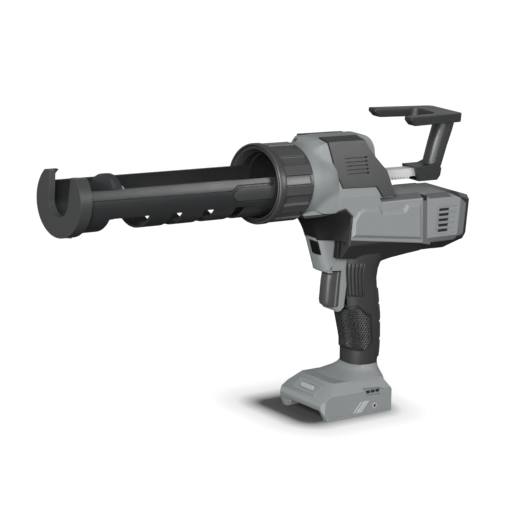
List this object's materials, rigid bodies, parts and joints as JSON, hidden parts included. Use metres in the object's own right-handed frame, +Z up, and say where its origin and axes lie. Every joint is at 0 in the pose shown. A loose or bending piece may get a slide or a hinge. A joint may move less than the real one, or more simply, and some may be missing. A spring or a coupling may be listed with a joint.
{
  "type": "cordless caulking tool",
  "caption": "Pistol-grip cordless caulking gun with an open cartridge carriage, a motor-driven rack rod with pull handle, a trigger and a battery foot.",
  "frame": {"origin": "middle of the battery foot's base, on the surface that the tool stands on", "axes": "+X along the barrel to the muzzle, +Y to the tool's left, +Z up"},
  "size_m": [0.48, 0.072, 0.2828],
  "materials": {
    "grey_plastic": "fine spark-eroded grain, satin",
    "black_plastic": "satin moulded black",
    "rubber": "soft overmoulded rubber with a diamond texture",
    "trigger_plastic": "satin moulded charcoal",
    "steel": "bright zinc plated steel",
    "dark_steel": "hardened gear steel, oiled",
    "cast_alloy": "die cast alloy",
    "bronze": "sintered bronze",
    "copper_core": "laminated iron with copper windings",
    "board": "green circuit board",
    "brass": "tinned brass",
    "lens": "clear polycarbonate",
    "inner_plastic": "glass filled nylon"
  },
  "bodies": {
    "housing": {"left_shell": "grey_plastic", "right_shell": "grey_plastic", "rear_cap": "grey_plastic", "lamp_bezel": "grey_plastic", "left_gear_cover": "black_plastic", "right_gear_cover": "black_plastic", "tail_cover": "black_plastic", "left_grip": "rubber", "right_grip": "rubber", "lamp_lens": "lens", "lamp_board": "board", "control_board": "board", "terminal_block": "inner_plastic", "terminal_blades": "brass", "heat_sink": "cast_alloy", "switch_module": "inner_plastic", "trigger_spring": "steel", "gear_frame": "cast_alloy", "ring_gear": "dark_steel", "motor_plate": "cast_alloy", "motor_can": "steel", "stator": "copper_core", "rotor_bearings": "steel", "drive_bushes": "bronze", "cross_bushes": "bronze", "carrier_bush": "bronze", "rack_backer": "inner_plastic", "shell_screws": "dark_steel"},
    "carriage": {"carriage_tube": "black_plastic", "end_cap": "black_plastic", "cap_rivets": "steel", "carriage_flange": "black_plastic"},
    "collar": {"collar_nut": "black_plastic"},
    "rod": {"rack_rod": "steel", "plunger": "black_plastic", "plunger_nut": "steel", "plunger_screw": "steel", "pull_handle": "black_plastic", "handle_pin": "steel"},
    "drive": {"drive_shaft": "dark_steel", "drive_pinion": "dark_steel", "drive_wheel": "dark_steel"},
    "clutch": {"clutch_pinion": "dark_steel"},
    "cross": {"cross_shaft": "dark_steel", "clutch_dog": "dark_steel", "bevel_wheel": "dark_steel"},
    "carrier": {"planet_carrier": "dark_steel", "bevel_pinion": "dark_steel"},
    "planet_1": {"planet_gear_1": "dark_steel"},
    "planet_2": {"planet_gear_2": "dark_steel"},
    "planet_3": {"planet_gear_3": "dark_steel"},
    "rotor": {"rotor_shaft": "dark_steel", "rotor_core": "copper_core", "sun_pinion": "dark_steel", "fan": "inner_plastic"},
    "trigger": {"trigger": "trigger_plastic"},
    "lock": {"lock_button": "trigger_plastic"}
  },
  "joints": [
    {"name": "rod_slide", "type": "slide", "parent": "housing", "child": "rod", "axis": [1, 0, 0], "range_m": [-0.19, 0.025]},
    {"name": "drive_turn", "type": "hinge", "parent": "housing", "child": "drive", "pos_m": [0.019, 0, 0.21125], "axis": [0, 1, 0], "range_deg": [-1300, 200]},
    {"name": "clutch_turn", "type": "hinge", "parent": "housing", "child": "clutch", "pos_m": [0.019, 0, 0.17875], "axis": [0, 1, 0], "range_deg": [-400, 2900]},
    {"name": "rotor_spin", "type": "hinge", "parent": "housing", "child": "rotor", "pos_m": [-0.06, 0, 0.17875], "axis": [1, 0, 0], "continuous": true},
    {"name": "carrier_spin", "type": "hinge", "parent": "housing", "child": "carrier", "pos_m": [-0.01, 0, 0.17875], "axis": [1, 0, 0], "continuous": true},
    {"name": "cross_spin", "type": "hinge", "parent": "housing", "child": "cross", "pos_m": [0.019, 0, 0.17875], "axis": [0, 1, 0], "continuous": true},
    {"name": "planet_1_spin", "type": "hinge", "parent": "carrier", "child": "planet_1", "pos_m": [-0.026, 0.012, 0.17875], "axis": [1, 0, 0], "continuous": true},
    {"name": "planet_2_spin", "type": "hinge", "parent": "carrier", "child": "planet_2", "pos_m": [-0.026, -0.006, 0.18914], "axis": [1, 0, 0], "continuous": true},
    {"name": "planet_3_spin", "type": "hinge", "parent": "carrier", "child": "planet_3", "pos_m": [-0.026, -0.006, 0.16836], "axis": [1, 0, 0], "continuous": true},
    {"name": "carriage_turn", "type": "hinge", "parent": "housing", "child": "carriage", "pos_m": [0.2, 0, 0.2255], "axis": [1, 0, 0], "continuous": true},
    {"name": "collar_turn", "type": "hinge", "parent": "housing", "child": "collar", "pos_m": [0.11, 0, 0.2255], "axis": [1, 0, 0], "range_deg": [0, 90]},
    {"name": "trigger_pull", "type": "slide", "parent": "housing", "child": "trigger", "axis": [-1, 0, 0], "range_m": [0, 0.006], "stiffness_N_per_m": 900, "springref_m": -0.004, "deforming": ["trigger_spring"]},
    {"name": "lock_slide", "type": "slide", "parent": "housing", "child": "lock", "axis": [0, -1, 0], "range_m": [0, 0.0016]}
  ],
  "couplings": [
    {"joint": "drive_turn", "follows": "rod_slide", "rad_per_m": 114.29},
    {"joint": "clutch_turn", "follows": "rod_slide", "rad_per_m": -257.14},
    {"joint": "carrier_spin", "follows": "rotor_spin", "ratio": 0.2},
    {"joint": "cross_spin", "follows": "rotor_spin", "ratio": 0.2},
    {"joint": "planet_1_spin", "follows": "rotor_spin", "ratio": -0.53333},
    {"joint": "planet_2_spin", "follows": "rotor_spin", "ratio": -0.53333},
    {"joint": "planet_3_spin", "follows": "rotor_spin", "ratio": -0.53333}
  ]
}
